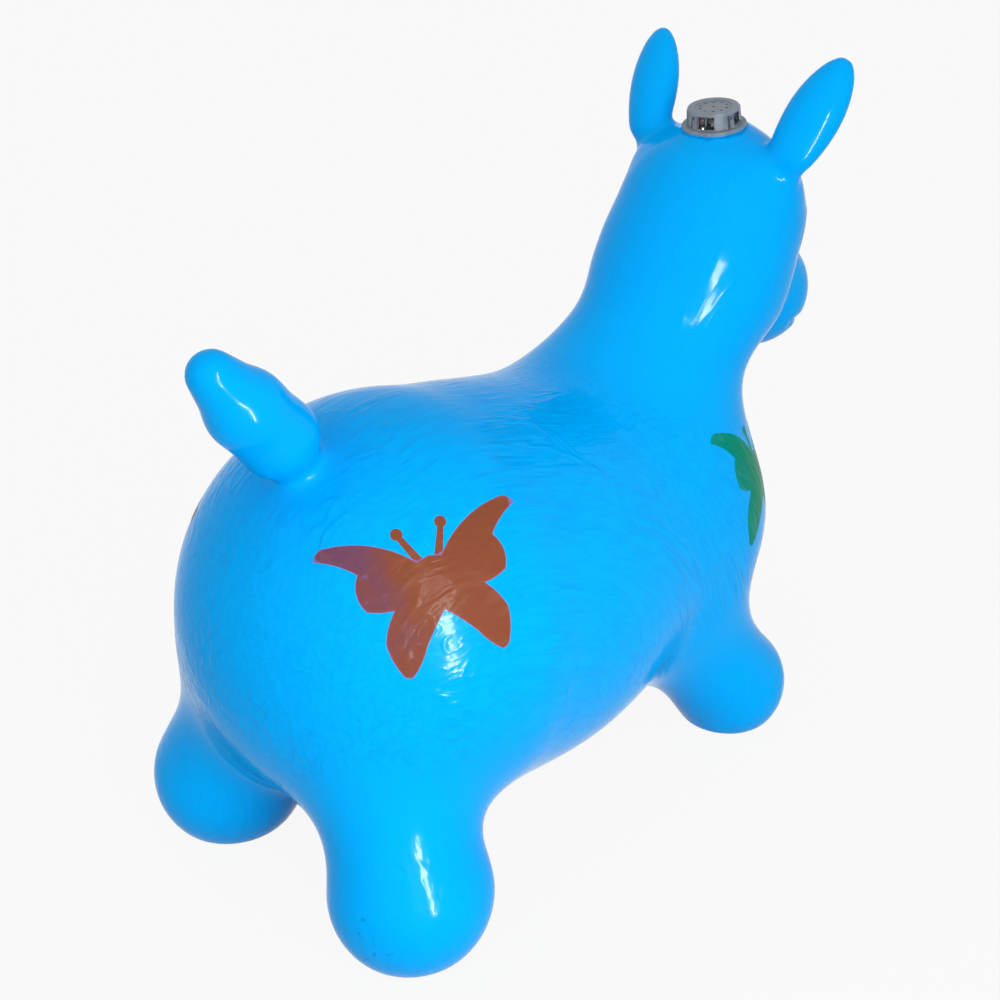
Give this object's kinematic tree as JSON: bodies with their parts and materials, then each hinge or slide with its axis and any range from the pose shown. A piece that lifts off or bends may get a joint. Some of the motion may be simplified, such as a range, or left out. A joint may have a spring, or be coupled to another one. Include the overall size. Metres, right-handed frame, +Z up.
{
  "type": "inflatable animal hopper",
  "caption": "Ride-on inflated donkey with a hollow soft skin, a belly air valve and a caged, shake-started sound module that pushes into its head.",
  "frame": {"origin": "centre of the overall box's bottom, on the floor between the feet", "axes": "+Z up, -Y the way the animal faces, +X its left-hand side"},
  "size_m": [0.29, 0.5649, 0.488],
  "materials": {
    "sky_blue_pvc": "glossy soft PVC with a fine embossed coat",
    "clear_pvc": "satin soft PVC",
    "grey_abs": "moulded, satin",
    "dark_abs": "moulded, matt",
    "cell_steel": "drawn can, bright",
    "contact_steel": "nickel-plated strip",
    "screw_steel": "plated",
    "board_green": "lacquered laminate",
    "black_resin": "poured drop, glossy",
    "contact_brass": "bright",
    "magnet_steel": "zinc-plated",
    "cone_film": "pressed film",
    "coil_copper": "enamelled wire",
    "wire_red": "smooth cover"
  },
  "bodies": {
    "animal": {"skin": "sky_blue_pvc", "head_socket": "sky_blue_pvc", "valve_seat": "clear_pvc"},
    "sound_module": {"module_base": "grey_abs", "battery_tray": "dark_abs", "button_cells": "cell_steel", "lower_strip": "contact_steel", "upper_strip": "contact_steel", "tray_screws": "screw_steel", "circuit_board": "board_green", "board_screws": "screw_steel", "sound_chip": "black_resin", "shake_pin": "contact_brass", "speaker_frame": "dark_abs", "speaker_magnet": "magnet_steel", "speaker_wires": "wire_red", "battery_wires": "wire_red"},
    "cage": {"cage_cap": "grey_abs"},
    "diaphragm": {"speaker_cone": "cone_film", "voice_coil": "coil_copper"},
    "shake_coil": {"shake_spring": "contact_brass"},
    "plug": {"valve_plug": "clear_pvc"}
  },
  "joints": [
    {"name": "module_pull", "type": "slide", "parent": "animal", "child": "sound_module", "axis": [0, 0.1305, 0.9914], "range_m": [0, 0.036]},
    {"name": "cage_twist", "type": "hinge", "parent": "sound_module", "child": "cage", "pos_m": [0, -0.18409, 0.43956], "axis": [0, 0.1305, 0.9914], "range_deg": [0, 9]},
    {"name": "cone_travel", "type": "slide", "parent": "sound_module", "child": "diaphragm", "axis": [0, 0.1305, 0.9914], "range_m": [-0.0003, 0.0003], "stiffness_N_per_m": 500},
    {"name": "coil_sway", "type": "hinge", "parent": "sound_module", "child": "shake_coil", "pos_m": [-0.00564, -0.18905, 0.41762], "axis": [1, 0, 0], "range_deg": [-7, 7], "stiffness_Nm_per_rad": 0.0002},
    {"name": "plug_pull", "type": "slide", "parent": "animal", "child": "plug", "axis": [0, 0.0073, -1], "range_m": [0, 0.025]}
  ]
}
